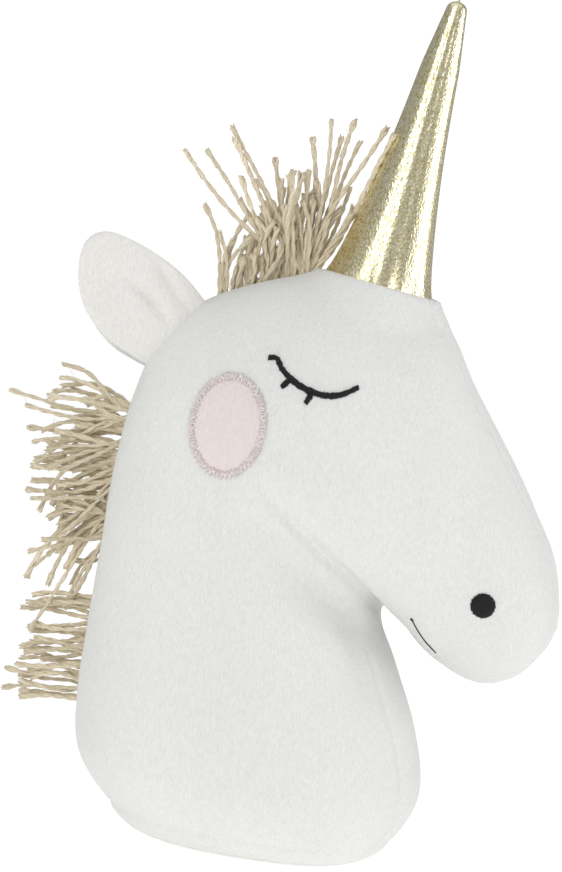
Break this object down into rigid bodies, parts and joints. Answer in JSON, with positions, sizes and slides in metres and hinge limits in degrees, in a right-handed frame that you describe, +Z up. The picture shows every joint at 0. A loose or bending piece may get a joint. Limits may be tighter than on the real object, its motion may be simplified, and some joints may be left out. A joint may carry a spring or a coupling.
{
  "type": "plush unicorn head",
  "caption": "Stuffed plush unicorn head that stands on a flat base, with a leaning leather horn, flexing ears and a twine mane.",
  "frame": {"origin": "centre of the flat of the base, on the surface it stands on", "axes": "+X out of the forehead towards the muzzle, +Y to the unicorn's left, +Z up"},
  "size_m": [0.2483, 0.125, 0.3744],
  "materials": {
    "plush": "off-white short-pile plush",
    "pellet_bag": "cotton bag of plastic pellets",
    "fibre": "loose white polyester fibre",
    "cotton_tape": "woven cotton tape",
    "gold_leather": "metallic gold, finely crinkled",
    "pink_felt": "pale pink short-nap fabric",
    "pink_thread": "pink embroidery thread",
    "black_thread": "black embroidery thread",
    "jute": "natural two-ply jute twine"
  },
  "bodies": {
    "head": {"side_panel_right": "plush", "side_panel_left": "plush", "forehead_gusset": "plush", "jaw_gusset": "plush", "chest_gusset": "plush", "base_panel": "plush", "ballast_bag": "pellet_bag", "fibre_filling": "fibre", "mane_tape": "cotton_tape", "cheek_patch_right": "pink_felt", "cheek_patch_left": "pink_felt", "cheek_stitching_right": "pink_thread", "cheek_stitching_left": "pink_thread", "eye_stitching_right": "black_thread", "eye_stitching_left": "black_thread", "nostril_right": "black_thread", "nostril_left": "black_thread", "mouth_stitching_right": "black_thread", "mouth_stitching_left": "black_thread"},
    "horn": {"horn_cover": "gold_leather", "horn_filling": "fibre"},
    "ear_right": {"ear_front_right": "plush", "ear_back_right": "plush"},
    "ear_left": {"ear_front_left": "plush", "ear_back_left": "plush"},
    "forelock": {"forelock_1": "jute", "forelock_2": "jute", "forelock_3": "jute", "forelock_4": "jute"},
    "upper_mane": {"upper_mane_1": "jute", "upper_mane_2": "jute", "upper_mane_3": "jute", "upper_mane_4": "jute"},
    "lower_mane": {"lower_mane_1": "jute", "lower_mane_2": "jute", "lower_mane_3": "jute"}
  },
  "joints": [
    {"name": "horn_sway", "type": "hinge", "parent": "head", "child": "horn", "pos_m": [0.021, 0, 0.247], "axis": [0.9912, 0, -0.1327], "range_deg": [-10, 10], "stiffness_Nm_per_rad": 0.5},
    {"name": "ear_right_flap", "type": "hinge", "parent": "head", "child": "ear_right", "pos_m": [-0.0655, -0.015, 0.21775], "axis": [0.6054, 0, 0.7959], "range_deg": [-8, 35], "stiffness_Nm_per_rad": 0.01},
    {"name": "ear_left_flap", "type": "hinge", "parent": "head", "child": "ear_left", "pos_m": [-0.0655, 0.015, 0.21775], "axis": [-0.6054, 0, -0.7959], "range_deg": [-8, 35], "stiffness_Nm_per_rad": 0.01},
    {"name": "forelock_sway", "type": "hinge", "parent": "head", "child": "forelock", "pos_m": [-0.03069, 0, 0.24667], "axis": [0.9343, 0, 0.3566], "range_deg": [-20, 20], "stiffness_Nm_per_rad": 0.03},
    {"name": "upper_mane_sway", "type": "hinge", "parent": "head", "child": "upper_mane", "pos_m": [-0.08694, 0, 0.15246], "axis": [0.0844, 0, 0.9964], "range_deg": [-30, 30], "stiffness_Nm_per_rad": 0.02},
    {"name": "lower_mane_sway", "type": "hinge", "parent": "head", "child": "lower_mane", "pos_m": [-0.08946, 0, 0.07223], "axis": [-0.0045, 0, 1], "range_deg": [-30, 30], "stiffness_Nm_per_rad": 0.02}
  ]
}
